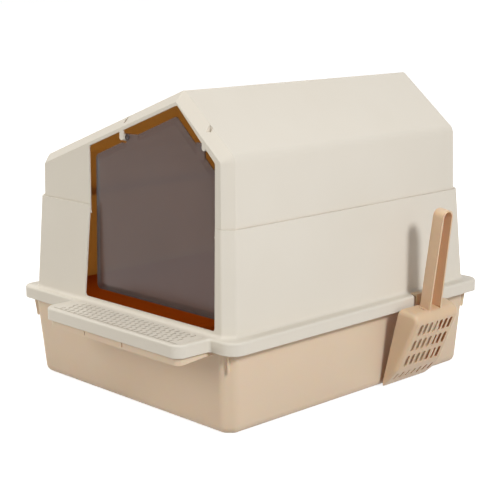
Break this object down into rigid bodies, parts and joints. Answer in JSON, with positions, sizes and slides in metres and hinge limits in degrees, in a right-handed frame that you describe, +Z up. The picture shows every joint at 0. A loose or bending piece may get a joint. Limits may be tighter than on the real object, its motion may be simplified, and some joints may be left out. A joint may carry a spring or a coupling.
{
  "type": "litter box",
  "caption": "Covered cat litter box: drafted tray, frame with a slotted step, off-centre gable hood that slides down inside the frame, smoky swing flap and a scoop hung on a side clip.",
  "frame": {"origin": "centre of the tray's flat underside, on the floor", "axes": "+Z up, the doorway and the step face -Y, +X to the right as seen from the front, where the scoop hangs"},
  "size_m": [0.5106, 0.5592, 0.4315],
  "materials": {
    "cream_shell": "fine satin",
    "peach_tray": "fine satin",
    "smoky_clear": "polished"
  },
  "bodies": {
    "tray": {"tray": "peach_tray"},
    "middle_frame": {"middle_frame": "cream_shell", "scoop_hook": "peach_tray"},
    "hood": {"hood": "cream_shell"},
    "door_flap": {"door_flap": "smoky_clear"},
    "step_grate": {"step_grate": "cream_shell"},
    "scoop": {"scoop": "peach_tray"}
  },
  "joints": [
    {"name": "frame_lift", "type": "slide", "parent": "tray", "child": "middle_frame", "axis": [0, 0, 1], "range_m": [0, 0.045]},
    {"name": "hood_fold", "type": "slide", "parent": "middle_frame", "child": "hood", "axis": [0, 0, -1], "range_m": [0, 0.12]},
    {"name": "door_swing", "type": "hinge", "parent": "hood", "child": "door_flap", "pos_m": [0, -0.2243, 0.364], "axis": [1, 0, 0], "range_deg": [-80, 80]},
    {"name": "grate_lift", "type": "slide", "parent": "middle_frame", "child": "step_grate", "axis": [0, 0, 1], "range_m": [0, 0.06]},
    {"name": "scoop_lift", "type": "slide", "parent": "middle_frame", "child": "scoop", "axis": [0.7071, 0, 0.7071], "range_m": [0, 0.15]}
  ]
}
